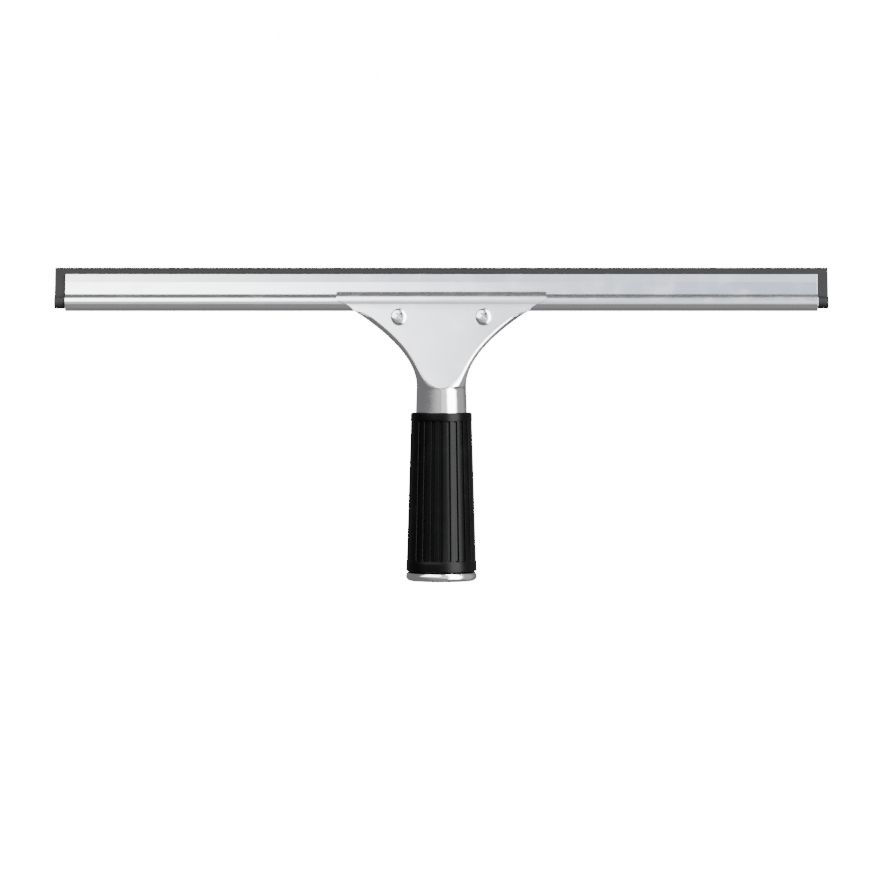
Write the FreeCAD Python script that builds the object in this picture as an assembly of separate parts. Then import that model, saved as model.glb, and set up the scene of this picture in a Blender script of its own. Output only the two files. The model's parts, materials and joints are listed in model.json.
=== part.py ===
# Window cleaning squeegee: a rubber blade in a steel channel, clamped across a tube handle.
#
# Millimetres. The origin is the centre of the pole socket's mouth. +X runs along the blade,
# the clamp plate faces -Y, and +Z runs up the handle's axis to the head. The head (channel,
# rubber and clamp plate) leans back from the handle, and is drawn in its own upright frame,
# whose origin is the centre of the channel's bead, before it is tilted into place.
import FreeCAD, Part
import math
import os

Vector = FreeCAD.Vector

# ---- Driving dimensions -----------------------------------------------------------------

# Handle tube, which is also the pole socket
neck_radius = 14.45         # outside, at its narrowest
neck_height = 112.5         # height of the narrowest place above the socket's mouth
tube_taper = 0.0305         # radius gained per millimetre down from the neck
tube_wall = 1.3

# Fan: the tube's flattened and flared upper end
fan_height = 44.0           # from the neck to where the fan's edges meet the channel
fan_half_width = 49.9       # half its width there
flare_start = 2.0           # above the neck
flare_power = 1.81          # how slowly the flare starts
fan_back_corner = 4.5       # corner radius along the back of the fan
square_from = 7.0           # the section turns from round to square from here below the neck
square_to = 15.0            # to here below the fan's top
flange_inset = 2.4          # rounded flange left showing outside the clamp plate
flange_run_out = 3.6        # height over which the flange narrows away at the fan's top
head_lean = 13.0            # degrees that the head leans back

# Rolled end ring, pressed into the tube's mouth
ring_height = 5.8
ring_overhang = 0.1         # beyond the grip's lower band
spigot_length = 12.0
spigot_wall = 1.0

# Rubber grip sleeve
grip_length = 92.1
grip_thickness = 2.7        # over its ribs
grip_band_rise = 0.2        # how far the end bands stand above the ribs
top_band_width = 5.0
bottom_band_width = 6.0
rib_count = 25
groove_depth = 1.0
groove_share = 0.36         # of the rib pitch
first_groove_angle = -1.3   # degrees to the right of the front
grip_rim_rounding = 0.6
grip_clearance = 0.05

# Blade channel: folded sheet with a round bead and two lips
bead_above_fan = 5.3        # from the fan's top to the bead's centre
channel_length = 437.4
channel_wall = 1.0
lip_height = 16.4           # above the bead's centre
lip_bend_height = 11.7
lip_flare = 0.45            # how far each lip's edge is turned out

# Rubber blade: a round bulb that runs in the bead, and the wiping blade
rubber_length = 450.0
bulb_radius = 3.55
blade_thickness = 1.9
blade_height = 20.8         # above the bead's centre
bulb_clearance = 0.45
blade_clearance = 0.1

# Clamp: hooked jaw on the back of the fan, and the hooked clamp plate in front
jaw_overhang = 11.0         # jaws' width beyond the fan, on each side
jaw_thickness = 1.5
jaw_foot = (3.6, 3.3)       # outside the fan, below the bead's centre
jaw_corner = (0.5, 0.8)     # the clipped corner, across and up
jaw_corner_height = -0.2    # of its lower end, above the bead's centre
web_thickness = 0.8         # solid metal under the channel's seat
shelf_share = 0.9           # of the seat's radius, down to which the seat is open in front
seat_clearance = 0.1        # between the channel's bead and its seat
plate_thickness = 0.9
plate_gap = 0.05            # between the plate and the fan's flat front
ridge_rise = 0.55           # how far the hook's round ridge stands above the flat plate
hook_gap = 0.35             # between a hook's end and the channel's lip
plate_tip_drop = 0.8        # of the plate's pointed end, below the neck
tip_bluntness = 16.5        # half-width squared over height, at the pointed end
tip_reach = 24.0            # height at which the pointed end has opened to twice that
tip_blend = 12              # how tightly the pointed end's curve turns into the flange's
plate_edge_fillet = 0.35

# Clamp screws and their nuts
screw_spacing = 49.0
screw_radius = 2.5
screw_length = 8.4
screw_clearance = 0.05
plate_hole_clearance = 0.2
screw_head_radius = 5.0
screw_head_height = 2.9
head_seat_gap = 0.03
recess_length = 4.8
recess_width = 1.1
recess_depth = 1.5
nut_across_flats = 8.0
nut_thickness = 3.6
nut_spigot_radius = 3.6
nut_room = 0.2              # between the nuts and the metal under the channel's seat

# ---- Sizes that follow ------------------------------------------------------------------

fan_top_height = neck_height + fan_height
flare_start_height = neck_height + flare_start
bead_height = fan_top_height + bead_above_fan    # above the socket's mouth
plate_tip_height = neck_height - plate_tip_drop

bead_inner_radius = bulb_radius + bulb_clearance
bead_radius = bead_inner_radius + channel_wall
lip_inner = blade_thickness / 2 + blade_clearance
lip_outer = lip_inner + channel_wall
seat_radius = bead_radius + seat_clearance
jaw_radius = seat_radius + jaw_thickness
jaw_half_width = fan_half_width + jaw_overhang
web_drop = seat_radius + web_thickness
screw_drop = web_drop + nut_room + nut_across_flats / 2     # below the bead's centre
hook_end = lip_outer + hook_gap              # how near a hook comes to the channel's middle
plate_back = seat_radius + plate_gap         # distances in front of the bead's centre
plate_front = plate_back + plate_thickness
ridge_front = plate_front + ridge_rise
crease_drop = math.sqrt(ridge_front ** 2 - plate_front ** 2)

clear = jaw_half_width * 2                   # past every end of the jaws, for blocks that cut

lean_sine = math.sin(math.radians(head_lean))
lean_cosine = math.cos(math.radians(head_lean))
lean_slope = lean_sine / lean_cosine

# The flat front of the fan leaves the neck at the clamp plate's tip, which sets how far back
# the bead's centre lies.
bead_back = -neck_radius + seat_radius / lean_cosine + (bead_height - plate_tip_height) * lean_slope

head_place = FreeCAD.Placement(Vector(0, bead_back, bead_height),
                               FreeCAD.Rotation(Vector(1, 0, 0), -head_lean))


# ---- Helpers ----------------------------------------------------------------------------

def in_head(shape):
    """Tilt a shape from the head's upright frame into its place on the handle."""
    return shape.transformed(head_place.toMatrix(), True)


def line(start, end):
    return Part.LineSegment(start, end).toShape()


def arc(centre, radius, start, end, plane):
    """An arc between two angles in degrees; plane(u, v) gives the point at u across, v up."""
    points = []
    for degrees in (start, (start + end) / 2, end):
        angle = math.radians(degrees)
        u = centre[0] + radius * math.cos(angle)
        v = centre[1] + radius * math.sin(angle)
        points.append(plane(u, v))
    return Part.Arc(*points).toShape()


def side(u, v):
    """A point of a section along the blade: u back, v up."""
    return Vector(0, u, v)


def chain(points):
    """Straight edges through the points."""
    return [line(a, b) for a, b in zip(points, points[1:])]


def along_blade(edges, length):
    """Pull a closed section out to a length centred on the handle."""
    face = Part.Face(Part.Wire(Part.__sortEdges__(edges)))
    face.translate(Vector(-length / 2, 0, 0))
    return face.extrude(Vector(length, 0, 0))


def cylinder_along_blade(radius, length):
    return Part.makeCylinder(radius, length, Vector(-length / 2, 0, 0), Vector(1, 0, 0))


def block(x, y, z):
    """A box from its three (low, high) pairs."""
    return Part.makeBox(x[1] - x[0], y[1] - y[0], z[1] - z[0], Vector(x[0], y[0], z[0]))


def revolve(edges):
    face = Part.Face(Part.Wire(Part.__sortEdges__(edges)))
    return face.revolve(Vector(0, 0, 0), Vector(0, 0, 1), 360)


# ---- Shape rules of the handle ----------------------------------------------------------

def tube_radius(z):
    """Outside radius of the round tube."""
    return neck_radius + max(neck_height - z, 0) * tube_taper


def spigot_radius():
    """Outside of the end ring's spigot: the tube's inside, half-way up the spigot."""
    return tube_radius(ring_height + spigot_length / 2) - tube_wall


def flare(z):
    """How far the fan's edge stands outside the neck, and its slope, at a height."""
    span = fan_top_height - flare_start_height
    rise = max(z - flare_start_height, 0) / span
    width = fan_half_width - neck_radius
    return width * rise ** flare_power, width / span * flare_power * rise ** (flare_power - 1)


def fan_edge(z):
    """Half-width of the handle's outline."""
    return tube_radius(z) + flare(z)[0]


def plate_edge(z):
    """Half-width of the clamp plate: a blunt tip, then a flange's width inside the fan."""
    above_tip = max(z - plate_tip_height, 0)
    tip = math.sqrt(tip_bluntness * above_tip) * (1 + (above_tip / tip_reach) ** 4)
    inside_fan = fan_edge(z) - flange_inset * math.hypot(1, flare(z)[1])
    run_out = min(max(z - fan_top_height + flange_run_out, 0) / flange_run_out, 1)
    inside_fan += (fan_edge(z) - inside_fan) * run_out ** 1.5
    if not above_tip:
        return 0
    return (tip ** -tip_blend + inside_fan ** -tip_blend) ** (-1 / tip_blend)


def fan_front(z):
    """The flat front of the fan, behind the clamp plate."""
    return -neck_radius + max(z - plate_tip_height, 0) * lean_slope


def fan_back_line():
    """The fan's back: a line from the neck that meets the rear jaw's curl as a tangent."""
    back = bead_back - neck_radius
    up = bead_height - plate_tip_height
    reach = math.hypot(back, up)
    angle = math.atan2(back, up) + math.asin(jaw_radius / reach)
    length = math.sqrt(reach ** 2 - jaw_radius ** 2)
    return math.tan(angle), plate_tip_height + length * math.cos(angle)


fan_back_slope, fan_back_top = fan_back_line()


def fan_back(z):
    return neck_radius + max(z - plate_tip_height, 0) * fan_back_slope


def smooth_step(value, low, high):
    share = min(max((value - low) / (high - low), 0), 1)
    return share * share * (3 - 2 * share)


def handle_section(z, inset):
    """Section of the handle: a circle low down, a wide rounded slab in the fan."""
    above_tip = max(z - plate_tip_height, 0)
    proud = min(0.05 * above_tip, 0.3)       # trimmed off again to leave a true flat
    if above_tip:
        front = fan_front(z) - proud + inset
        back = fan_back(z) - inset
    else:
        front = -tube_radius(z) + inset
        back = tube_radius(z) - inset
    half = fan_edge(z) - inset
    flange = fan_edge(z) - plate_edge(z)
    front_corner = flange + proud + math.sqrt(2 * flange * proud) - inset
    squareness = smooth_step(z, neck_height - square_from, fan_top_height - square_to)
    back_corner = fan_edge(z) + (fan_back_corner - fan_edge(z)) * squareness - inset
    sliver = 0.01
    smallest = 0.8
    largest = min(half, (back - front) / 2) - sliver
    front_corner = min(max(front_corner, smallest), largest)
    back_corner = min(max(back_corner, smallest), largest)

    def level(u, v):
        return Vector(u, v, z)

    left, right = -half, half
    fx, bx = half - front_corner, half - back_corner
    fy, by = front + front_corner, back - back_corner
    edges = [
        line(level(-fx, front), level(fx, front)),
        arc((fx, fy), front_corner, -90, 0, level),
        line(level(right, fy), level(right, by)),
        arc((bx, by), back_corner, 0, 90, level),
        line(level(bx, back), level(-bx, back)),
        arc((-bx, by), back_corner, 90, 180, level),
        line(level(left, by), level(left, fy)),
        arc((-fx, fy), front_corner, 180, 270, level),
    ]
    return Part.Wire(edges)


def handle_loft(bottom, inset):
    """The handle's outside, or its inside when inset by the wall, ruled between sections."""
    tip = plate_tip_height
    heights = [bottom, neck_height - square_from, neck_height - square_from / 2, tip]
    heights += [tip + rise for rise in (0.8, 1.8, 3.2, 5, 7, 9.2, 11.5)]
    upper = heights[-1]
    steps = 20
    heights += [upper + (fan_back_top - upper) * step / steps for step in range(1, steps + 1)]
    return Part.makeLoft([handle_section(z, inset) for z in heights], True, True)


# ---- Shapes shared by the two jaws ------------------------------------------------------

def plate_level(z):
    """Height along the plate's front face, in the head's frame, of a height on the handle."""
    return (z - bead_height - plate_front * lean_sine) / lean_cosine


def jaw_ends():
    """Blocks that cut both jaws' ends to their stepped outline, in the head's frame."""
    foot = plate_level(fan_top_height)
    corner_across, corner_up = jaw_corner
    foot_across, foot_drop = jaw_foot
    outline = [(fan_edge(fan_top_height), foot), (fan_half_width + foot_across, -foot_drop),
               (jaw_half_width - corner_across, jaw_corner_height),
               (jaw_half_width, jaw_corner_height + corner_up),
               (jaw_half_width, 30), (clear, 30), (clear, foot)]
    points = [Vector(x, -30, z) for x, z in outline]
    face = Part.Face(Part.makePolygon(points + points[:1]))
    right = face.extrude(Vector(0, 60, 0))
    return right.fuse(right.mirror(Vector(0, 0, 0), Vector(1, 0, 0)))


def hook_angle(radius):
    """Angle, from level, at which a hook of this inside radius stops beside the channel's lip."""
    return math.degrees(math.acos(hook_end / radius))


# ---- Pieces -----------------------------------------------------------------------------

def handle_body():
    """Tube, fan and rear jaw, formed from one piece of steel tube."""
    outside = handle_loft(ring_height, 0)
    inside = handle_loft(ring_height - 1, tube_wall)
    above_web = in_head(block((-clear, clear), (-40, 40), (-web_drop, 40)))
    inside = inside.cut(above_web)

    mouth = Part.makeCylinder(spigot_radius(), spigot_length + 1, Vector(0, 0, ring_height - 1))
    body = outside.cut(inside).cut(mouth)

    in_front = block((-clear, clear), (-60, -seat_radius), (-70, 40))
    shelf = seat_radius * shelf_share
    open_front = block((-clear, clear), (-seat_radius - 1, 0), (-shelf, 40))
    lip_slot = block((-clear, clear), (-1, hook_end), (0, 40))
    seat = cylinder_along_blade(seat_radius, 2 * clear)
    curl_end = hook_angle(seat_radius)
    inner_start, inner_end = [radial(seat_radius, angle) for angle in (-25, curl_end)]
    outer_start, outer_end = [radial(jaw_radius, angle) for angle in (-25, curl_end)]
    hook = along_blade([
        arc((0, 0), seat_radius, -25, curl_end, side),
        line(inner_end, outer_end),
        arc((0, 0), jaw_radius, curl_end, -25, side),
        line(outer_start, inner_start),
    ], 2 * jaw_half_width)
    trims = in_front.fuse(open_front).fuse(lip_slot).fuse(seat)
    body = body.cut(in_head(trims)).fuse(in_head(hook)).cut(in_head(jaw_ends()))

    for x in (-screw_spacing / 2, screw_spacing / 2):
        hole = Part.makeCylinder(nut_spigot_radius, tube_wall + 2,
                                 Vector(x, -seat_radius - 1, -screw_drop), Vector(0, 1, 0))
        body = body.cut(in_head(hole))
    return body.removeSplitter()


def radial(radius, degrees):
    angle = math.radians(degrees)
    return side(radius * math.cos(angle), radius * math.sin(angle))


def end_ring():
    """Rolled bead under the grip, with the spigot that holds it in the tube."""
    bead = ring_height / 2
    band = grip_thickness + grip_band_rise
    bead_centre = tube_radius(ring_height) + band + ring_overhang - bead
    outside = spigot_radius()
    bore = outside - spigot_wall
    top = ring_height + spigot_length
    return revolve([
        line(side(bore, 0), side(bead_centre, 0)),
        arc((bead_centre, bead), bead, -90, 90, side),
        line(side(bead_centre, ring_height), side(outside, ring_height)),
        line(side(outside, ring_height), side(outside, top)),
        line(side(outside, top), side(bore, top)),
        line(side(bore, top), side(bore, 0)),
    ])


def grip_sleeve():
    """Moulded rubber sleeve with lengthwise ribs between two plain bands."""
    bottom = ring_height
    top = ring_height + grip_length
    rib_bottom = bottom + bottom_band_width
    rib_top = top - top_band_width
    inner = [tube_radius(z) + grip_clearance for z in (bottom, top)]
    band = grip_thickness + grip_band_rise
    sleeve = revolve(chain([
        side(inner[0], bottom),
        side(tube_radius(bottom) + band, bottom),
        side(tube_radius(rib_bottom) + band, rib_bottom),
        side(tube_radius(rib_bottom) + grip_thickness, rib_bottom),
        side(tube_radius(rib_top) + grip_thickness, rib_top),
        side(tube_radius(rib_top) + band, rib_top),
        side(tube_radius(top) + band, top),
        side(inner[1], top),
        side(inner[0], bottom),
    ]))
    rim_edges = []
    for edge in sleeve.Edges:
        box = edge.BoundBox
        for z in (bottom, top):
            level = abs(box.ZMin - z) < 0.01 and abs(box.ZMax - z) < 0.01
            if level and box.XMax > tube_radius(z) + band - 0.01:
                rim_edges.append(edge)
    sleeve = sleeve.makeFillet(grip_rim_rounding, rim_edges)

    pitch = 360 / rib_count
    grooves = []
    for number in range(rib_count):
        angle = math.radians(first_groove_angle + number * pitch)
        outward = Vector(math.sin(angle), -math.cos(angle), 0)
        across = Vector(math.cos(angle), math.sin(angle), 0)
        corners = []
        for z, way in ((rib_bottom, -1), (rib_bottom, 1), (rib_top, 1), (rib_top, -1)):
            outer = tube_radius(z) + grip_thickness
            half = math.pi * outer / rib_count * groove_share
            corners.append(outward * (outer - groove_depth) + across * (way * half) + Vector(0, 0, z))
        floor = Part.Face(Part.makePolygon(corners + corners[:1]))
        grooves.append(floor.extrude(outward * (groove_depth + 3)))
    return sleeve.cut(Part.makeCompound(grooves))


def plate_outline():
    """The clamp plate's outline, in the head's frame, on the plane through the bead's centre."""
    heights = [plate_tip_height + rise for rise in (0.25, 1, 2.3, 4.2, 6.5, 9, 11.5)]
    lowest = heights[-1] + 3.5
    steps = 9
    heights += [lowest + (fan_top_height - lowest) * step / steps for step in range(steps + 1)]
    right = [Vector(plate_edge(z), 0, plate_level(z)) for z in heights]
    left = [Vector(-point.x, 0, point.z) for point in reversed(right)]
    curve = Part.BSplineCurve()
    curve.interpolate(left + [Vector(0, 0, plate_level(plate_tip_height))] + right)
    top = 12
    corner = right[-1]
    closing = chain([corner, Vector(corner.x, 0, top), Vector(-corner.x, 0, top), left[0]])
    return Part.Face(Part.Wire([curve.toShape()] + closing))


def front_clamp_plate():
    """Front jaw: a flat fan with a hook along its top that wraps the channel's bead."""
    flat = plate_outline()
    flat.translate(Vector(0, -plate_front, 0))
    flat = flat.extrude(Vector(0, plate_thickness, 0))
    shoulder = plate_level(fan_top_height)
    flat = flat.cut(block((-clear, clear), (-60, 60), (-crease_drop, 40)))

    curl_end = 180 - hook_angle(plate_back)
    crease_angle = 180 + math.degrees(math.asin(crease_drop / ridge_front))
    hook = along_blade([
        line(side(-plate_back, shoulder), side(-plate_back, 0)),
        arc((0, 0), plate_back, 180, curl_end, side),
        line(radial(plate_back, curl_end), radial(ridge_front, curl_end)),
        arc((0, 0), ridge_front, curl_end, crease_angle, side),
        line(side(-plate_front, -crease_drop), side(-plate_front, shoulder)),
        line(side(-plate_front, shoulder), side(-plate_back, shoulder)),
    ], 2 * jaw_half_width)
    plate = hook.cut(jaw_ends()).fuse(flat).removeSplitter()
    for x in (-screw_spacing / 2, screw_spacing / 2):
        hole = Part.makeCylinder(screw_radius + plate_hole_clearance, plate_thickness + 2,
                                 Vector(x, -plate_front - 1, -screw_drop), Vector(0, 1, 0))
        plate = plate.cut(hole)
    plate = plate.makeFillet(plate_edge_fillet, flat_front_edges(plate))
    return in_head(plate)


def flat_front_edges(plate):
    """The fan-shaped outline of the plate's flat front face, below the ridge."""
    edges = []
    for edge in plate.Edges:
        box = edge.BoundBox
        on_front = abs(box.YMin + plate_front) < 1e-4 and abs(box.YMax + plate_front) < 1e-4
        if on_front and box.ZMin < plate_level(fan_top_height) - 1:
            edges.append(edge)
    return edges


def clamp_screw(x):
    """Pan-head screw with a cross recess; the thread is a plain shank."""
    dome = screw_head_height
    rim = dome * 0.42
    bulge = (screw_head_radius * 0.72, dome * 0.86)
    profile = [
        line(side(0, 0), side(screw_head_radius, 0)),
        line(side(screw_head_radius, 0), side(screw_head_radius, rim)),
        Part.Arc(side(screw_head_radius, rim), side(*bulge), side(0, dome)).toShape(),
        line(side(0, dome), side(0, 0)),
    ]
    head = revolve(profile)
    for turn in (45, 135):
        slot = block((-recess_length / 2, recess_length / 2), (-recess_width / 2, recess_width / 2),
                     (dome - recess_depth, dome + 1))
        slot.rotate(Vector(0, 0, 0), Vector(0, 0, 1), turn)
        head = head.cut(slot)
    tip = screw_radius * 0.3
    shank = Part.makeCylinder(screw_radius, screw_length + head_seat_gap - tip, Vector(0, 0, 0),
                              Vector(0, 0, -1))
    point = Part.makeCone(screw_radius, screw_radius - tip, tip,
                          Vector(0, 0, tip - screw_length - head_seat_gap), Vector(0, 0, -1))
    screw = head.fuse(shank).fuse(point).removeSplitter()
    screw.rotate(Vector(0, 0, 0), Vector(1, 0, 0), 90)
    screw.translate(Vector(x, -plate_front - head_seat_gap, -screw_drop))
    return in_head(screw)


def clinch_nut(x):
    """Hexagonal nut behind the fan's front wall, with the spigot pressed through the wall."""
    across_corners = nut_across_flats / math.cos(math.radians(30))
    corners = []
    for number in range(7):
        angle = math.radians(60 * number)
        corners.append(Vector(math.cos(angle), 0, math.sin(angle)) * (across_corners / 2))
    wall_back = -seat_radius + tube_wall
    hexagon = Part.Face(Part.makePolygon(corners))
    hexagon.translate(Vector(0, wall_back, 0))
    nut = hexagon.extrude(Vector(0, nut_thickness, 0))
    spigot = Part.makeCylinder(nut_spigot_radius, tube_wall, Vector(0, -seat_radius, 0), Vector(0, 1, 0))
    bore = Part.makeCylinder(screw_radius + screw_clearance, 30, Vector(0, -20, 0), Vector(0, 1, 0))
    nut = nut.fuse(spigot).cut(bore)
    nut.translate(Vector(x, 0, -screw_drop))
    return in_head(nut)


def blade_channel():
    """Keyhole section: a round bead with two lips that grip the blade, turned out at the edge."""
    def lip(way):
        outer_foot = math.sqrt(bead_radius ** 2 - lip_outer ** 2)
        inner_foot = math.sqrt(bead_inner_radius ** 2 - lip_inner ** 2)
        return chain([
            side(way * lip_outer, outer_foot),
            side(way * lip_outer, lip_bend_height),
            side(way * (lip_outer + lip_flare), lip_height),
            side(way * (lip_inner + lip_flare), lip_height),
            side(way * lip_inner, lip_bend_height),
            side(way * lip_inner, inner_foot),
        ])
    outer_angle = math.degrees(math.acos(lip_outer / bead_radius))
    inner_angle = math.degrees(math.acos(lip_inner / bead_inner_radius))
    edges = lip(1) + lip(-1)
    edges.append(arc((0, 0), bead_radius, 180 - outer_angle, 360 + outer_angle, side))
    edges.append(arc((0, 0), bead_inner_radius, 180 - inner_angle, 360 + inner_angle, side))
    return in_head(along_blade(edges, channel_length))


def rubber_blade():
    """Round bulb and square-edged blade, moulded as one strip."""
    half = blade_thickness / 2
    foot = math.sqrt(bulb_radius ** 2 - half ** 2)
    angle = math.degrees(math.acos(half / bulb_radius))
    edges = chain([side(half, foot), side(half, blade_height), side(-half, blade_height), side(-half, foot)])
    edges.append(arc((0, 0), bulb_radius, 180 - angle, 360 + angle, side))
    return in_head(along_blade(edges, rubber_length))


# ---- Build ------------------------------------------------------------------------------

pieces = {
    "handle_body": handle_body(),
    "end_ring": end_ring(),
    "grip_sleeve": grip_sleeve(),
    "front_clamp_plate": front_clamp_plate(),
    "clamp_screw_left": clamp_screw(-screw_spacing / 2),
    "clamp_screw_right": clamp_screw(screw_spacing / 2),
    "clinch_nut_left": clinch_nut(-screw_spacing / 2),
    "clinch_nut_right": clinch_nut(screw_spacing / 2),
    "blade_channel": blade_channel(),
    "rubber_blade": rubber_blade(),
}

os.makedirs("parts", exist_ok=True)
for name, shape in pieces.items():
    box = shape.BoundBox
    print(f"{name}: {len(shape.Solids)} solid, valid {shape.isValid()}, {shape.Volume / 1000:.2f} cm3")
    print(f"    x {box.XMin:.2f}..{box.XMax:.2f}, y {box.YMin:.2f}..{box.YMax:.2f}, "
          f"z {box.ZMin:.2f}..{box.ZMax:.2f}")
    shape.exportStep(f"parts/{name}.step")
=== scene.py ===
# %% [markdown]
# # A window cleaning squeegee
#
# The real tool is a strip of rubber held in a folded steel channel. A hooked plate with two screws
# clamps the channel across the flared end of a steel tube, and the tube carries a ribbed rubber grip.
# The CAD frame already holds every size, place and joint, so this lesson only makes the visible
# surfaces: rounder edges, smoother curves, and what steel and rubber do to light.

# %% Load the frame
import json
import math

import bmesh
import bpy
from mathutils import Matrix, Vector


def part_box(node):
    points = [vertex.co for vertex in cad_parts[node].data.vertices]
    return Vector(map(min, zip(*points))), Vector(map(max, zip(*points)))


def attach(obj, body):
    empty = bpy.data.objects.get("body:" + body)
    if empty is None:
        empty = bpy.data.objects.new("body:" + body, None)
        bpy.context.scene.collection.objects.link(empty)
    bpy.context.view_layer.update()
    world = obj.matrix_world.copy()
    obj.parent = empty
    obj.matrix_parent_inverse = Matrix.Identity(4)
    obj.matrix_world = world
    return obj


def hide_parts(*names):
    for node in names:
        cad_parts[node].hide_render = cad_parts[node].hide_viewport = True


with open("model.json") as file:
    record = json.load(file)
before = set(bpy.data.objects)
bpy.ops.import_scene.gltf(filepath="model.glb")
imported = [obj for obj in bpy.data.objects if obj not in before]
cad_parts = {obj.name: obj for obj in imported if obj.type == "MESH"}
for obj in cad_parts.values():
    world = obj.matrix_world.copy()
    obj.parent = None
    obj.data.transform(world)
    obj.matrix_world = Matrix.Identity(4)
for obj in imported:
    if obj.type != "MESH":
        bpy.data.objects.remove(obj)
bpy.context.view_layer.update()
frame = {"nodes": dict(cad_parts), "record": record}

MM = 0.001

# %% [markdown]
# ## The head's own frame
#
# The channel, rubber, plate and screws all lean back together. It's far easier to draw them upright
# and tilt them once. The clamp plate slides straight off its seat, so the axis of that joint says
# which way the plate faces, and the two screw joints say where the screws sit.

# %% Read the lean and the places of the screws
joints = {joint["name"]: joint for joint in frame["record"]["behaviour"]["joints"]}
faces = Vector(joints["clamp_open"]["axis"]).normalized()
lean = math.asin(faces.z)

channel_low, channel_high = [Vector(corner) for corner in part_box("blade_channel")]
rubber_low, rubber_high = [Vector(corner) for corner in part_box("rubber_blade")]
bead_radius = 5.0 * MM

# The bead is a plain cylinder, so it reaches exactly its radius below and in front of its centre.
bead_centre = Vector((0, channel_low.y + bead_radius, channel_low.z + bead_radius))
head = Matrix.Translation(bead_centre) @ Matrix.Rotation(-lean, 4, "X")
centre_mm = [round(v / MM, 2) for v in bead_centre]
print(f"lean {math.degrees(lean):.1f} degrees, bead centre {centre_mm} mm")


# %% [markdown]
# ## Small helpers
#
# `new_piece` turns points and faces into an object whose place is in its mesh, as a CAD node's is.
# `shade_round` smooths everything except edges sharper than the angle it is given, which is how a
# pressed or drawn surface looks: soft across its curves and crisp at its folds.

# %% Helpers that make and shade a piece
def shade_round(mesh, crease):
    for polygon in mesh.polygons:
        polygon.use_smooth = True
    mesh.set_sharp_from_angle(angle=math.radians(crease))


def link(name, mesh):
    made = bpy.data.objects.new(name, mesh)
    bpy.context.scene.collection.objects.link(made)
    return made


def new_piece(name, bm, crease=30):
    bmesh.ops.remove_doubles(bm, verts=bm.verts, dist=1e-7)
    bmesh.ops.recalc_face_normals(bm, faces=bm.faces)
    mesh = bpy.data.meshes.new(name)
    bm.to_mesh(mesh)
    bm.free()
    shade_round(mesh, crease)
    print(f"{name}: {len(mesh.polygons)} faces")
    return link(name, mesh)


def open_edges(mesh):
    """How many edges have only one face: 0 on a closed surface."""
    faces_at = {}
    for polygon in mesh.polygons:
        for key in polygon.edge_keys:
            faces_at[key] = faces_at.get(key, 0) + 1
    return sum(1 for count in faces_at.values() if count == 1)


def soften_edges(piece, width, angle=35, segments=2):
    bevel = piece.modifiers.new("soft_edges", "BEVEL")
    bevel.width = width
    bevel.segments = segments
    bevel.limit_method = "ANGLE"
    bevel.angle_limit = math.radians(angle)
    bevel.harden_normals = True


def settle_normals(piece):
    weighted = piece.modifiers.new("flat_faces_stay_flat", "WEIGHTED_NORMAL")
    weighted.keep_sharp = True


def applied(piece):
    """The piece with its modifiers worked into a plain mesh."""
    evaluated = piece.evaluated_get(bpy.context.evaluated_depsgraph_get())
    mesh = bpy.data.meshes.new_from_object(evaluated)
    piece.modifiers.clear()
    piece.data = mesh
    mesh.name = piece.name
    return piece


# %% [markdown]
# ## Shader groups that the finishes share
#
# Steel that has been drawn or rolled carries fine parallel lines, and every handled surface has
# faint smudges where fingers and cloths have been. Both are worth building once as node groups:
# each material then places them with its own scale. The groups only put out masks and heights, and
# the Principled shader stays in the material, where the export can read it.

# %% Group: lines left by drawing or rolling
def group_socket(group, name, kind, way, value=None):
    socket = group.interface.new_socket(name=name, in_out=way, socket_type=kind)
    if value is not None:
        socket.default_value = value


def add(tree, kind, **settings):
    node = tree.nodes.new(kind)
    for key, value in settings.items():
        setattr(node, key, value)
    return node


def math_node(tree, operation, first, second):
    node = add(tree, "ShaderNodeMath", operation=operation)
    for index, value in enumerate((first, second)):
        if isinstance(value, (int, float)):
            node.inputs[index].default_value = value
        else:
            tree.links.new(value, node.inputs[index])
    return node.outputs[0]


def drawn_lines_group():
    group = bpy.data.node_groups.new("drawn_lines", "ShaderNodeTree")
    group_socket(group, "Stretch", "NodeSocketVector", "INPUT", (1, 1, 1))
    group_socket(group, "Fineness", "NodeSocketFloat", "INPUT", 1.0)
    group_socket(group, "Lines", "NodeSocketFloat", "OUTPUT")
    group_socket(group, "Patches", "NodeSocketFloat", "OUTPUT")
    inside = add(group, "NodeGroupInput")
    out = add(group, "NodeGroupOutput")
    place = add(group, "ShaderNodeTexCoord")
    stretched = add(group, "ShaderNodeVectorMath", operation="MULTIPLY")
    group.links.new(place.outputs["Object"], stretched.inputs[0])
    group.links.new(inside.outputs["Stretch"], stretched.inputs[1])
    lines = add(group, "ShaderNodeTexNoise")
    lines.inputs["Detail"].default_value = 4
    group.links.new(stretched.outputs[0], lines.inputs["Vector"])
    group.links.new(inside.outputs["Fineness"], lines.inputs["Scale"])
    group.links.new(lines.outputs["Fac"], out.inputs["Lines"])
    patches = add(group, "ShaderNodeTexNoise")
    patches.inputs["Scale"].default_value = 28
    patches.inputs["Detail"].default_value = 3
    group.links.new(place.outputs["Object"], patches.inputs["Vector"])
    group.links.new(patches.outputs["Fac"], out.inputs["Patches"])
    return group


drawn_lines = drawn_lines_group()


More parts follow.
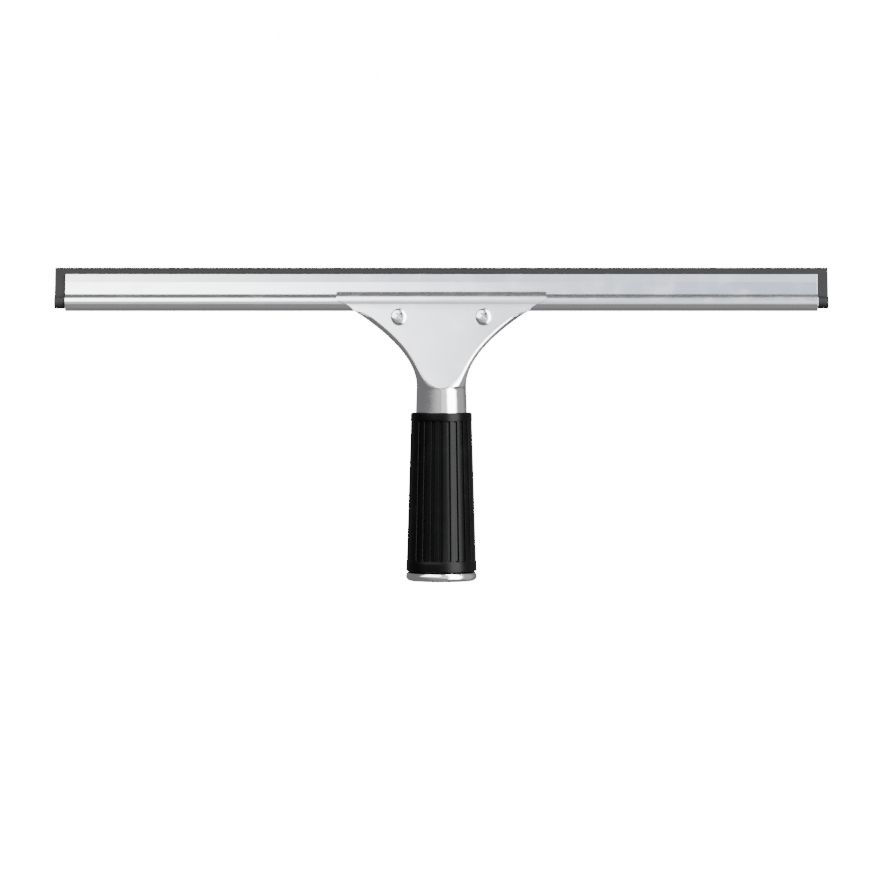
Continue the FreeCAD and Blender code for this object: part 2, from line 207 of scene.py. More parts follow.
# %% Group: faint handling marks and dust
def handling_group():
    group = bpy.data.node_groups.new("handling_marks", "ShaderNodeTree")
    group_socket(group, "Mark Size", "NodeSocketFloat", "INPUT", 60.0)
    group_socket(group, "Speck Size", "NodeSocketFloat", "INPUT", 900.0)
    group_socket(group, "Smudges", "NodeSocketFloat", "OUTPUT")
    group_socket(group, "Specks", "NodeSocketFloat", "OUTPUT")
    inside = add(group, "NodeGroupInput")
    out = add(group, "NodeGroupOutput")
    place = add(group, "ShaderNodeTexCoord")
    smudge = add(group, "ShaderNodeTexNoise")
    smudge.inputs["Detail"].default_value = 5
    smudge.inputs["Distortion"].default_value = 0.6
    group.links.new(place.outputs["Object"], smudge.inputs["Vector"])
    group.links.new(inside.outputs["Mark Size"], smudge.inputs["Scale"])
    shaped = add(group, "ShaderNodeMapRange", interpolation_type="SMOOTHSTEP")
    shaped.inputs["From Min"].default_value = 0.45
    shaped.inputs["From Max"].default_value = 0.72
    group.links.new(smudge.outputs["Fac"], shaped.inputs["Value"])
    group.links.new(shaped.outputs["Result"], out.inputs["Smudges"])
    speck = add(group, "ShaderNodeTexVoronoi")
    group.links.new(place.outputs["Object"], speck.inputs["Vector"])
    group.links.new(inside.outputs["Speck Size"], speck.inputs["Scale"])
    dot = add(group, "ShaderNodeMapRange")
    dot.inputs["From Min"].default_value = 0.14
    dot.inputs["From Max"].default_value = 0.05
    group.links.new(speck.outputs["Distance"], dot.inputs["Value"])
    group.links.new(dot.outputs["Result"], out.inputs["Specks"])
    return group


handling_marks = handling_group()
print("groups:", drawn_lines.name, handling_marks.name)


# %% [markdown]
# ## Steel
#
# The channel is drawn, so its lines run along the blade. The plate is pressed from rolled sheet.
# The handle and ring are polished round the tube. One function makes all of them: what changes is
# the way the lines run, how rough the metal is, and how strongly the lines catch the light. The
# lines act on roughness and, very slightly, on height, because that is what a scratch does.

# %% Steel materials
def place_group(tree, group, **values):
    node = add(tree, "ShaderNodeGroup", node_tree=group)
    for name, value in values.items():
        node.inputs[name.replace("_", " ")].default_value = value
    return node


def mixed_colour(tree, factor, low, high):
    mix = add(tree, "ShaderNodeMix", data_type="RGBA")
    tree.links.new(factor, mix.inputs["Factor"])
    mix.inputs[6].default_value = (*low, 1)
    mix.inputs[7].default_value = (*high, 1)
    return mix.outputs[2]


def blank_material(name):
    material = bpy.data.materials.new(name)
    material.use_nodes = True
    tree = material.node_tree
    shader = tree.nodes["Principled BSDF"]
    return material, tree, shader


def steel(name, colour, roughness, stretch, fineness=1.0, line_depth=0.02, variation=0.05):
    material, tree, shader = blank_material(name)
    lines = place_group(tree, drawn_lines, Stretch=stretch, Fineness=fineness)
    marks = place_group(tree, handling_marks)
    darker = tuple(channel * 0.94 for channel in colour)
    mixed = mixed_colour(tree, lines.outputs["Patches"], darker, colour)
    tree.links.new(mixed, shader.inputs["Base Color"])
    shader.inputs["Metallic"].default_value = 1
    swing = math_node(tree, "MULTIPLY_ADD", lines.outputs["Lines"], variation)
    swing.node.inputs[2].default_value = roughness - variation / 2
    smudged = math_node(tree, "MULTIPLY_ADD", marks.outputs["Smudges"], 0.05)
    tree.links.new(swing, smudged.node.inputs[2])
    tree.links.new(smudged, shader.inputs["Roughness"])
    bump = add(tree, "ShaderNodeBump")
    bump.inputs["Strength"].default_value = line_depth
    bump.inputs["Distance"].default_value = 0.02 * MM
    tree.links.new(lines.outputs["Lines"], bump.inputs["Height"])
    tree.links.new(bump.outputs["Normal"], shader.inputs["Normal"])
    return material


handle_steel = steel("satin_handle_steel", (0.64, 0.64, 0.65), 0.13, (300, 300, 2500))
plate_steel = steel("pressed_plate_steel", (0.68, 0.68, 0.685), 0.16, (60, 2500, 2500))
channel_steel = steel("drawn_channel_steel", (0.66, 0.665, 0.68), 0.15, (25, 3000, 3000), line_depth=0.03)
polished_steel = steel("polished_ring_steel", (0.66, 0.66, 0.665), 0.12, (400, 400, 3000), variation=0.03)
screw_steel = steel("bright_screw_steel", (0.5, 0.5, 0.505), 0.15, (900, 900, 900), variation=0.06)
nut_steel = steel("plated_nut_steel", (0.5, 0.5, 0.49), 0.35, (900, 900, 900), variation=0.08)


# %% [markdown]
# ## Rubber
#
# Moulded rubber is never one flat black. The mould's fine texture breaks its highlight, talc and
# dust sit on it as pale specks, and bloom leaves patches that are a little paler and duller. The
# grip's highlight is sharper than that of the wiping blade, which is a softer, greyer rubber.

# %% Rubber materials
def rubber(name, colour, bloom, roughness, grain_size, grain_depth, gloss):
    material, tree, shader = blank_material(name)
    marks = place_group(tree, handling_marks, Mark_Size=45.0, Speck_Size=700.0)
    tinted = mixed_colour(tree, marks.outputs["Smudges"], colour, bloom)
    dusty = add(tree, "ShaderNodeMix", data_type="RGBA")
    tree.links.new(math_node(tree, "MULTIPLY", marks.outputs["Specks"], 0.12), dusty.inputs["Factor"])
    tree.links.new(tinted, dusty.inputs[6])
    dusty.inputs[7].default_value = (*[channel * 2.5 + 0.02 for channel in bloom], 1)
    tree.links.new(dusty.outputs[2], shader.inputs["Base Color"])
    patchy = math_node(tree, "MULTIPLY_ADD", marks.outputs["Smudges"], 0.1)
    patchy.node.inputs[2].default_value = roughness
    tree.links.new(patchy, shader.inputs["Roughness"])
    shader.inputs["Specular IOR Level"].default_value = gloss
    place = add(tree, "ShaderNodeTexCoord")
    grain = add(tree, "ShaderNodeTexNoise")
    grain.inputs["Scale"].default_value = grain_size
    grain.inputs["Detail"].default_value = 3
    tree.links.new(place.outputs["Object"], grain.inputs["Vector"])
    bump = add(tree, "ShaderNodeBump")
    bump.inputs["Strength"].default_value = grain_depth
    bump.inputs["Distance"].default_value = 0.03 * MM
    tree.links.new(grain.outputs["Fac"], bump.inputs["Height"])
    tree.links.new(bump.outputs["Normal"], shader.inputs["Normal"])
    return material


black, black_bloom = (0.0010, 0.0010, 0.0011), (0.0018, 0.0018, 0.002)
grip_rubber = rubber("black_grip_rubber", black, black_bloom, 0.3, 1800, 0.15, 0.06)
grey, grey_bloom = (0.0065, 0.0065, 0.0068), (0.0085, 0.0085, 0.0088)
blade_rubber = rubber("grey_blade_rubber", grey, grey_bloom, 0.55, 1500, 0.2, 0.12)


# %% [markdown]
# ## The wiping blade and its channel
#
# Both are made as one section drawn through a die, so both are built that way here: a closed outline
# pulled along the blade. Outlines could be polygons with hard corners, but real rubber has a slightly
# broken edge and folded sheet has a rounded one, so the corners are softened afterwards.

# %% Outlines drawn through the head's frame
def arc_points(radius, start, end, steps):
    turns = [math.radians(start + (end - start) * step / steps) for step in range(steps + 1)]
    return [(radius * math.cos(turn), radius * math.sin(turn)) for turn in turns]


def drawn_strip(name, outline, length, crease):
    """A closed outline of (back, up) points, pulled along the blade and tilted into place."""
    bm = bmesh.new()
    rows = []
    stations = 12
    for station in range(stations + 1):
        x = length * (station / stations - 0.5)
        rows.append([bm.verts.new(head @ Vector((x, back, up))) for back, up in outline])
    count = len(outline)
    for near, far in zip(rows, rows[1:]):
        for index in range(count):
            after = (index + 1) % count
            bm.faces.new((near[index], near[after], far[after], far[index]))
    bm.faces.new(rows[0])
    bm.faces.new(rows[-1])
    return new_piece(name, bm, crease)


# %% The rubber strip
rubber_half = 0.95 * MM
bulb_radius = 3.55 * MM
blade_height = 20.8 * MM
bulb_turn = math.degrees(math.acos(rubber_half / bulb_radius))
outline = arc_points(bulb_radius, 180 - bulb_turn, 360 + bulb_turn, 48)
outline += [(rubber_half, blade_height), (-rubber_half, blade_height)]
rubber_strip = drawn_strip("rubber_strip", outline, rubber_high.x - rubber_low.x, 35)
soften_edges(rubber_strip, 0.12 * MM)
rubber_strip.data.materials.append(blade_rubber)

# %% The channel
wall = 1.0 * MM
lip_inner = 1.05 * MM
lip_outer = lip_inner + wall
bend_height, lip_height = 11.7 * MM, 16.4 * MM
lip_flare = 0.45 * MM
bead_inner = bead_radius - wall
outer_turn = math.degrees(math.acos(lip_outer / bead_radius))
inner_turn = math.degrees(math.acos(lip_inner / bead_inner))


def lip_points(way):
    """One lip, from the outside of the bead up and over its edge to the inside."""
    return [(way * lip_outer, bend_height), (way * (lip_outer + lip_flare), lip_height),
            (way * (lip_inner + lip_flare), lip_height), (way * lip_inner, bend_height)]


outline = arc_points(bead_radius, 180 - outer_turn, 360 + outer_turn, 96)
outline += lip_points(1)
outline += arc_points(bead_inner, 360 + inner_turn, 180 - inner_turn, 80)
outline += list(reversed(lip_points(-1)))
channel = drawn_strip("folded_channel", outline, channel_high.x - channel_low.x, 4.6)
soften_edges(channel, 0.15 * MM)
channel.data.materials.append(channel_steel)


# %% [markdown]
# ## The end ring
#
# The ring's rolled bead is a surface of revolution, spun from a bead and a spigot. A spun profile
# keeps its highlight perfectly round, which matters on the most polished piece of the tool.

# %% Spin a profile round the handle's axis
def spun(name, profile, steps, crease):
    """A closed profile of (radius, height) points spun round the handle's axis."""
    bm = bmesh.new()
    rings = []
    for step in range(steps):
        turn = 2 * math.pi * step / steps
        out = Vector((math.cos(turn), math.sin(turn), 0))
        rings.append([bm.verts.new(out * radius + Vector((0, 0, height))) for radius, height in profile])
    count = len(profile)
    for step in range(steps):
        near, far = rings[step], rings[(step + 1) % steps]
        for index in range(count):
            after = (index + 1) % count
            bm.faces.new((near[index], near[after], far[after], far[index]))
    return new_piece(name, bm, crease)


ring_high = Vector(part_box("end_ring")[1])
socket = frame["record"]["mounts"][0]["dims"]
grip_low, grip_high = [Vector(corner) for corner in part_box("grip_sleeve")]
ring_radius = ring_high.x
bead = grip_low.z / 2
bore = socket["r_mm"] * MM
spigot_wall, mouth_rounding = 1.0 * MM, 0.3 * MM
spigot = bore + spigot_wall
bead_points = [(ring_radius - bead + across, bead + up) for across, up in arc_points(bead, -90, 90, 20)]
inside_points = [(spigot, 2 * bead), (spigot, ring_high.z), (bore, ring_high.z), (bore, mouth_rounding)]
profile = [(bore + mouth_rounding, 0)] + bead_points + inside_points
end_ring = spun("polished_end_ring", profile, 128, 30)
end_ring.data.materials.append(polished_steel)


# %% [markdown]
# ## The grip
#
# The sleeve has the same rib twenty-five times. Only one twenty-fifth of it is modelled, as a height
# map wrapped on the cone: a groove between two half ribs, closed at both ends by the plain bands. A
# Geometry Nodes tree then turns copies of it round the axis, realizes them and welds the seams, so
# changing the number of ribs is one input.

# %% One rib of the sleeve
rib_count = 25
neck_radius, neck_height, taper = 14.45 * MM, 112.5 * MM, 0.0305
grip_thickness = 2.7 * MM
band_rise = 0.2 * MM
groove_depth = 1.0 * MM
groove_share = 0.36
top_band, bottom_band = 5.0 * MM, 6.0 * MM
rib_bottom, rib_top = grip_low.z + bottom_band, grip_high.z - top_band
first_groove = math.radians(-1.3)
rim_rounding = 0.6 * MM
tube_clearance = 0.05 * MM
band_blend = 0.3 * MM       # height over which a plain band sinks to the ribs
wall_blend = 0.28 * MM      # half the width of a groove's sloping wall
end_blend = 0.55 * MM       # length of a groove's rounded end


def smooth_step(value, low, high):
    share = min(max((value - low) / (high - low), 0), 1)
    return share * share * (3 - 2 * share)


def grip_radius(share, z):
    """Outside radius at a share of the pitch from a groove's middle, and a height."""
    tube = neck_radius + (neck_height - z) * taper
    in_ribs = smooth_step(z, rib_bottom - band_blend, rib_bottom)
    in_ribs *= 1 - smooth_step(z, rib_top, rib_top + band_blend)
    radius = tube + grip_thickness + band_rise * (1 - in_ribs)
    pitch = 2 * math.pi * radius / rib_count
    across = abs(share) * pitch
    half = groove_share / 2 * pitch
    walls = 1 - smooth_step(across, half - wall_blend, half + wall_blend)
    ends = smooth_step(z, rib_bottom, rib_bottom + end_blend)
    ends *= 1 - smooth_step(z, rib_top - end_blend, rib_top)
    for distance in (z - grip_low.z, grip_high.z - z):
        if distance < rim_rounding:
            radius -= rim_rounding - math.sqrt(rim_rounding ** 2 - (rim_rounding - distance) ** 2)
    return radius - groove_depth * walls * ends


def close_steps(low, high, count):
    return [low + (high - low) * step / count for step in range(count)]


def stretches(stops, counts):
    """Places from the first stop up to the last, close together where the surface turns."""
    places = []
    for low, high, count in zip(stops, stops[1:], counts):
        places += close_steps(low, high, count)
    return places


wall_start, wall_end = groove_share / 2 - 0.05, groove_share / 2 + 0.07
shares = stretches((0, wall_start, wall_end, 0.5), (2, 10, 4)) + [0.5]
shares = [-share for share in reversed(shares[1:])] + shares

rim_rises = [rim_rounding * (1 - math.cos(math.radians(turn))) for turn in range(0, 91, 15)]
turning = 0.7 * MM      # how far into the ribs the surface still turns
stops = (grip_low.z + rim_rounding, rib_bottom - band_blend, rib_bottom + turning,
         rib_top - turning, rib_top + band_blend, grip_high.z - rim_rounding)
heights = [grip_low.z + rim_rise for rim_rise in rim_rises[:-1]]
heights += stretches(stops, (3, 12, 12, 12, 3))
heights += [grip_high.z - rim_rise for rim_rise in reversed(rim_rises)]


def rib_mesh():
    bm = bmesh.new()
    pitch = 2 * math.pi / rib_count
    outside, inside = [], []
    for z in heights:
        tube = neck_radius + (neck_height - z) * taper + tube_clearance
        rows = [[], []]
        for share in shares:
            turn = first_groove + share * pitch
            out = Vector((math.sin(turn), -math.cos(turn), 0))
            for row, radius in zip(rows, (grip_radius(share, z), tube)):
                row.append(bm.verts.new(out * radius + Vector((0, 0, z))))
        outside.append(rows[0])
        inside.append(rows[1])
    for rows, flip in ((outside, False), (inside, True)):
        for low, high in zip(rows, rows[1:]):
            for index in range(len(shares) - 1):
                face = [low[index], low[index + 1], high[index + 1], high[index]]
                bm.faces.new(reversed(face) if flip else face)
    for index in range(len(shares) - 1):
        bm.faces.new((inside[0][index], inside[0][index + 1], outside[0][index + 1], outside[0][index]))
        bm.faces.new((outside[-1][index], outside[-1][index + 1], inside[-1][index + 1], inside[-1][index]))
    mesh = bpy.data.meshes.new("one_rib")
    bm.to_mesh(mesh)
    bm.free()
    return mesh


# %% Repeat the rib with Geometry Nodes
def repeat_round_axis_tree():
    tree = bpy.data.node_groups.new("repeat_round_axis", "GeometryNodeTree")
    group_socket(tree, "Geometry", "NodeSocketGeometry", "INPUT")
    group_socket(tree, "Count", "NodeSocketInt", "INPUT", rib_count)
    group_socket(tree, "Weld Distance", "NodeSocketFloat", "INPUT", 1e-6)
    group_socket(tree, "Material", "NodeSocketMaterial", "INPUT")
    group_socket(tree, "Geometry", "NodeSocketGeometry", "OUTPUT")
    inside = add(tree, "NodeGroupInput")
    out = add(tree, "NodeGroupOutput")
    points = add(tree, "GeometryNodePoints")
    tree.links.new(inside.outputs["Count"], points.inputs["Count"])
    index = add(tree, "GeometryNodeInputIndex")
    share = math_node(tree, "DIVIDE", index.outputs[0], inside.outputs["Count"])
    turn = math_node(tree, "MULTIPLY", share, 2 * math.pi)
    axis = add(tree, "ShaderNodeCombineXYZ")
    tree.links.new(turn, axis.inputs["Z"])
    copies = add(tree, "GeometryNodeInstanceOnPoints")
    tree.links.new(points.outputs[0], copies.inputs["Points"])
    tree.links.new(inside.outputs["Geometry"], copies.inputs["Instance"])
    tree.links.new(axis.outputs[0], copies.inputs["Rotation"])
    real = add(tree, "GeometryNodeRealizeInstances")
    tree.links.new(copies.outputs[0], real.inputs[0])
    weld = add(tree, "GeometryNodeMergeByDistance")
    tree.links.new(real.outputs[0], weld.inputs["Geometry"])
    tree.links.new(inside.outputs["Weld Distance"], weld.inputs["Distance"])
    finish = add(tree, "GeometryNodeSetMaterial")
    tree.links.new(weld.outputs[0], finish.inputs["Geometry"])
    tree.links.new(inside.outputs["Material"], finish.inputs["Material"])
    tree.links.new(finish.outputs[0], out.inputs[0])
    return tree


def run_tree(piece, tree, **values):
    """Run a Geometry Nodes tree on a piece and keep its result as a plain mesh."""
    modifier = piece.modifiers.new(tree.name, "NODES")
    modifier.node_group = tree
    names = {item.name: item.identifier for item in tree.interface.items_tree if item.in_out == "INPUT"}
    for name, value in values.items():
        modifier[names[name.replace("_", " ")]] = value
    return applied(piece)


grip = link("ribbed_grip_sleeve", rib_mesh())
run_tree(grip, repeat_round_axis_tree(), Count=rib_count, Weld_Distance=2e-6, Material=grip_rubber)
shade_round(grip.data, 40)
print(f"grip: {rib_count} ribs, {len(grip.data.polygons)} faces, open edges {open_edges(grip.data)}")


# %% [markdown]
# ## Handle and clamp plate
#
# These two are pressed shapes whose outlines the CAD already follows exactly, so they aren't drawn
# again. A copy of each CAD mesh has its loose triangles welded, its flat areas joined into single
# faces and its curves shaded smooth. The CAD already rounds the plate's edges, and that round is what
# catches the light. Weighted normals keep the flat faces flat beside it.

# %% Copies of the CAD meshes, welded and smoothed
def welded_copy(node, name, crease, weld=2e-6):
    bm = bmesh.new()
    bm.from_mesh(frame["nodes"][node].data)
    bmesh.ops.remove_doubles(bm, verts=bm.verts, dist=weld)
    bmesh.ops.dissolve_limit(bm, angle_limit=math.radians(0.2), verts=bm.verts, edges=bm.edges)
    bmesh.ops.triangulate(bm, faces=[face for face in bm.faces if len(face.verts) > 4])
    mesh = bpy.data.meshes.new(name)
    bm.to_mesh(mesh)
    bm.free()
    shade_round(mesh, crease)
    print(f"{name}: {len(mesh.polygons)} faces, open edges {open_edges(mesh)}")
    return link(name, mesh)


handle = welded_copy("handle_body", "tube_handle", 28)
settle_normals(handle)
handle.data.materials.clear()
handle.data.materials.append(handle_steel)

plate = welded_copy("front_clamp_plate", "hooked_clamp_plate", 28)
settle_normals(plate)
plate.data.materials.clear()
plate.data.materials.append(plate_steel)


# %% [markdown]
# ## Clamp screws
#
# A pan-head screw is a turned dome with a cross recess punched into it. The head is spun from its
# profile, and the recess is cut with a tapered cross, as the punch does. The same screw is used
# twice, so a small Geometry Nodes tree tilts a copy onto each seat.

# %% Turn one screw and punch its recess
head_radius, head_height = 5.0 * MM, 2.9 * MM
shank_radius, shank_length = 2.5 * MM, 8.4 * MM


def screw_profile():
    """Axis to axis: over the domed head, round its rim and down the shank."""
    rim = 1.0 * MM
    dome = []
    for turn in range(0, 91, 9):
        angle = math.radians(turn)
        dome.append((head_radius * math.sin(angle), rim + (head_height - rim) * math.cos(angle) ** 0.9))
    under = [(head_radius, 0.25 * MM), (head_radius - 0.25 * MM, 0), (shank_radius, 0)]
    tip = [(shank_radius, -shank_length + 0.7 * MM), (shank_radius - 0.7 * MM, -shank_length)]
    return dome[1:] + under + tip


def turned_screw():
    steps = 72
    bm = bmesh.new()
    profile = screw_profile()
    rings = []
    for radius, height in profile:
        ring = []
        for step in range(steps):
            turn = 2 * math.pi * step / steps
            ring.append(bm.verts.new((radius * math.cos(turn), radius * math.sin(turn), height)))
        rings.append(ring)
    for near, far in zip(rings, rings[1:]):
        for step in range(steps):
            after = (step + 1) % steps
            bm.faces.new((near[step], near[after], far[after], far[step]))
    top = bm.verts.new((0, 0, head_height))
    for step in range(steps):
        bm.faces.new((top, rings[0][step], rings[0][(step + 1) % steps]))
    bm.faces.new(rings[-1])
    return new_piece("turned_screw", bm, 30)


def cross_punch():
    """A tapered cross: two wedges that narrow as they go down."""
    bm = bmesh.new()
    deep, high = head_height - 2.5 * MM, head_height + 0.5 * MM
    for turn in (45, 135):
        spin = Matrix.Rotation(math.radians(turn), 4, "Z")
        corners = []
        for height, length, width in ((deep, 1.5 * MM, 0.36 * MM), (high, 2.6 * MM, 0.62 * MM)):
            for x, y in ((-1, -1), (1, -1), (1, 1), (-1, 1)):
                corners.append(bm.verts.new(spin @ Vector((x * length, y * width, height))))
        bm.faces.new(reversed(corners[:4]))
        bm.faces.new(corners[4:])
        for index in range(4):
            after = (index + 1) % 4
            bm.faces.new((corners[index], corners[after], corners[4 + after], corners[4 + index]))
    mesh = bpy.data.meshes.new("cross_punch")
    bm.to_mesh(mesh)
    bm.free()
    return link("cross_punch", mesh)


def punched_screw():
    screw, punch = turned_screw(), cross_punch()
    cut = screw.modifiers.new("recess", "BOOLEAN")
    cut.object = punch
    cut.solver = "EXACT"
    cut.use_self = True
    bpy.context.view_layer.update()
    applied(screw)
    shade_round(screw.data, 30)
    bpy.data.objects.remove(punch)
    return screw


# %% Seat a screw with Geometry Nodes
def seat_screw_tree():
    tree = bpy.data.node_groups.new("seat_screw", "GeometryNodeTree")
    group_socket(tree, "Geometry", "NodeSocketGeometry", "INPUT")
    group_socket(tree, "Seat", "NodeSocketVector", "INPUT")
    group_socket(tree, "Tilt", "NodeSocketFloat", "INPUT", 0.0)
    group_socket(tree, "Material", "NodeSocketMaterial", "INPUT")
    group_socket(tree, "Geometry", "NodeSocketGeometry", "OUTPUT")
    inside = add(tree, "NodeGroupInput")
    out = add(tree, "NodeGroupOutput")
    seat = add(tree, "GeometryNodePoints")
    tree.links.new(inside.outputs["Seat"], seat.inputs["Position"])
    leaning = add(tree, "ShaderNodeCombineXYZ")
    tree.links.new(inside.outputs["Tilt"], leaning.inputs["X"])
    copy = add(tree, "GeometryNodeInstanceOnPoints")
    tree.links.new(seat.outputs[0], copy.inputs["Points"])
    tree.links.new(inside.outputs["Geometry"], copy.inputs["Instance"])
    tree.links.new(leaning.outputs[0], copy.inputs["Rotation"])
    real = add(tree, "GeometryNodeRealizeInstances")
    tree.links.new(copy.outputs[0], real.inputs[0])
    finish = add(tree, "GeometryNodeSetMaterial")
    tree.links.new(real.outputs[0], finish.inputs["Geometry"])
    tree.links.new(inside.outputs["Material"], finish.inputs["Material"])
    tree.links.new(finish.outputs[0], out.inputs[0])
    return tree


pattern = punched_screw()
seat_tree = seat_screw_tree()
seat_gap = 0.03 * MM
screws = {}
for side in ("left", "right"):
    seat = Vector(joints[f"screw_{side}_turn"]["pos_m"]) + faces * seat_gap
    screw = link(f"pan_head_screw_{side}", pattern.data.copy())
    run_tree(screw, seat_tree, Seat=seat, Tilt=math.pi / 2 - lean, Material=screw_steel)
    shade_round(screw.data, 30)
    screws[side] = screw
    print(f"{side} screw seated at {tuple(round(value / MM, 1) for value in seat)} mm")
bpy.data.objects.remove(pattern)

# %% [markdown]
# ## Tie every piece to the frame
#
# Each piece rides on the body that carries the CAD node it stands for, and that node is hidden.
# The two nuts are hidden inside the fan, so their CAD meshes stay and only get their finish.

# %% Ride and replace
rides = [
    (rubber_strip, "rubber", "rubber_blade", "blade_rubber"),
    (channel, "channel", "blade_channel", "steel_channel"),
    (end_ring, "handle", "end_ring", "polished_steel"),
    (grip, "handle", "grip_sleeve", "grip_rubber"),
    (handle, "handle", "handle_body", "steel_handle"),
    (plate, "clamp_plate", "front_clamp_plate", "steel_plate"),
    (screws["left"], "screw_left", "clamp_screw_left", "polished_steel"),
    (screws["right"], "screw_right", "clamp_screw_right", "polished_steel"),
]
for piece, body, node, slot in rides:
    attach(piece, body)
    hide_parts(node)
for side in ("left", "right"):
    nut = frame["nodes"][f"clinch_nut_{side}"]
    for slot in nut.material_slots:
        slot.material = nut_steel


# %% [markdown]
# ## Floor, light and camera
#
# Polished steel shows the room more than itself, so the room is what has to be designed. It could be
# a set of area lights, but each one then needs placing for every curve that mirrors it. Here the
# studio is painted on the sky instead, as a few soft panels named by where they stand: a tall key on
# the right for the bright stripe down the tube and grip, a broad panel high on the left for the
# clamp plate and channel, and dim walls everywhere else. Only the camera sees the plain white paper.

# %% Floor
def paper_for_camera(tree, lit, paper, surface):
    """The camera sees the bare paper. Every other ray meets the lit surface or the studio."""
    seen = add(tree, "ShaderNodeLightPath")
    mix = add(tree, "ShaderNodeMixShader")
    tree.links.new(seen.outputs["Is Camera Ray"], mix.inputs[0])
    tree.links.new(lit.outputs[0], mix.inputs[1])
    tree.links.new(paper.outputs[0], mix.inputs[2])
    tree.links.new(mix.outputs[0], surface)


def stage_material():
    material, tree, shader = blank_material("pale_studio_paper")
    shader.inputs["Base Color"].default_value = (0.9, 0.9, 0.9, 1)
    shader.inputs["Roughness"].default_value = 0.9
    shader.inputs["Specular IOR Level"].default_value = 0
    glow = add(tree, "ShaderNodeEmission")
    glow.inputs["Strength"].default_value = paper_brightness
    paper_for_camera(tree, shader, glow, tree.nodes["Material Output"].inputs["Surface"])
    return material


paper_brightness = 20.0
floor_half = 14
floor_height = -0.55
bm = bmesh.new()
corners = [(-1, -1), (1, -1), (1, 1), (-1, 1)]
bm.faces.new([bm.verts.new((x * floor_half, y * floor_half, floor_height)) for x, y in corners])
mesh = bpy.data.meshes.new("studio_floor")
bm.to_mesh(mesh)
bm.free()
mesh.materials.append(stage_material())
floor = link("studio_floor", mesh)
floor.visible_glossy = False
floor.visible_diffuse = False


# %% The studio, painted on the sky
world = bpy.data.worlds.new("studio")
bpy.context.scene.world = world
world.use_nodes = True
sky = world.node_tree
direction = add(sky, "ShaderNodeTexCoord").outputs["Generated"]
parts = add(sky, "ShaderNodeSeparateXYZ")
sky.links.new(direction, parts.inputs[0])
toward_front = math_node(sky, "MULTIPLY", parts.outputs["Y"], -1.0)
azimuth = math_node(sky, "ARCTAN2", parts.outputs["X"], toward_front)
elevation = math_node(sky, "ARCSINE", parts.outputs["Z"], 0.0)


def soft_window(value, low, high, soft_low, soft_high):
    """1 between two angles in degrees, falling to 0 over a soft width outside each of them."""
    edges = []
    for start, end in ((low - soft_low, low), (high + soft_high, high)):
        edge = add(sky, "ShaderNodeMapRange", interpolation_type="SMOOTHSTEP")
        edge.inputs["From Min"].default_value = math.radians(start)
        edge.inputs["From Max"].default_value = math.radians(end)
        sky.links.new(value, edge.inputs["Value"])
        edges.append(edge.outputs["Result"])
    return math_node(sky, "MULTIPLY", *edges)


def slanted(slope, corner):
    """Azimuth, grown below a corner elevation, so that a panel's right edge leans to the left."""
    below = math_node(sky, "SUBTRACT", math.radians(corner), elevation)
    shift = math_node(sky, "MULTIPLY", math_node(sky, "MAXIMUM", below, 0.0), slope)
    return math_node(sky, "ADD", azimuth, shift)


def panel(brightness, colour, across, up, way=azimuth):
    """A soft panel. across and up are (low, high, soft_low, soft_high) in degrees."""
    mask = math_node(sky, "MULTIPLY", soft_window(way, *across), soft_window(elevation, *up))
    scaled = add(sky, "ShaderNodeVectorMath", operation="SCALE")
    scaled.inputs[0].default_value = [channel * brightness for channel in colour]
    sky.links.new(mask, scaled.inputs["Scale"])
    return scaled.outputs[0]


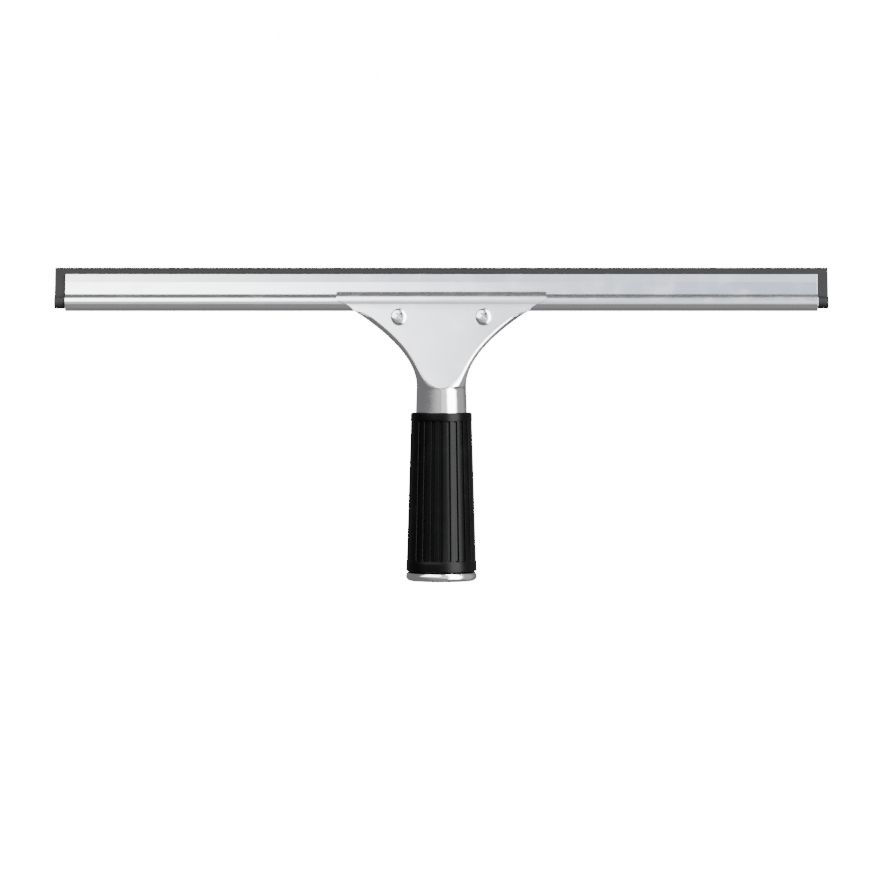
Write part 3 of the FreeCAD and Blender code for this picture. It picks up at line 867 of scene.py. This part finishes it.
white, cool = (1, 1, 1), (0.82, 0.95, 1.22)
panels = [
    panel(22, white, (32, 62, 9, 14), (-28, 60, 15, 20)),       # tall key on the right
    panel(9, white, (-60, -4.5, 15, 6), (17, 57, 7, 8), slanted(0.3, 26)),  # broad, high on the left
    panel(0.9, cool, (-2, 60, 4, 20), (12, 57, 8, 8)),          # cool wall, high on the right
    panel(0.75, white, (0, 24, 64, 6), (-14, 12, 12, 8)),       # front wall at eye height
    panel(0.9, white, (14, 26, 22, 6), (-14, 12, 12, 8)),       # its brighter right end
    panel(0.12, white, (-40, 60, 20, 20), (-80, -30, 10, 10)),  # light thrown back by the floor
    panel(0.35, white, (70, 110, 12, 30), (-30, 60, 20, 20)),   # far right wall
]
total = add(sky, "ShaderNodeVectorMath", operation="ADD")
total.inputs[0].default_value = (0.27, 0.27, 0.275)
sky.links.new(panels[0], total.inputs[1])
for light in panels[1:]:
    more = add(sky, "ShaderNodeVectorMath", operation="ADD")
    sky.links.new(total.outputs[0], more.inputs[0])
    sky.links.new(light, more.inputs[1])
    total = more
studio = sky.nodes["Background"]
sky.links.new(total.outputs[0], studio.inputs["Color"])
paper = add(sky, "ShaderNodeBackground")
paper.inputs["Strength"].default_value = paper_brightness
paper_for_camera(sky, studio, paper, sky.nodes["World Output"].inputs["Surface"])

# %% One real softbox, for the faint shadows between the pieces
softbox = bpy.data.lights.new("front_softbox", "AREA")
softbox.shape = "RECTANGLE"
softbox.size, softbox.size_y = 2.0, 1.2
softbox.energy = 6
softbox_lamp = bpy.data.objects.new("front_softbox", softbox)
softbox_lamp.location = (-1.0, -1.8, 1.5)
softbox_lamp.rotation_euler = softbox_lamp.location.to_track_quat("Z", "Y").to_euler()
bpy.context.scene.collection.objects.link(softbox_lamp)


# %% Camera
camera_data = bpy.data.cameras.new("front_camera")
camera_data.lens = 154.8
camera_data.sensor_width = 36
camera_data.clip_end = 100
camera = bpy.data.objects.new("front_camera", camera_data)
aim = Vector((-0.0008, 0, 0.0819))
distance, rise = 2.2, math.radians(1.2)
camera.location = aim + distance * Vector((0, -math.cos(rise), math.sin(rise)))
camera.rotation_euler = (aim - camera.location).to_track_quat("-Z", "Y").to_euler()
bpy.context.scene.collection.objects.link(camera)
bpy.context.scene.camera = camera
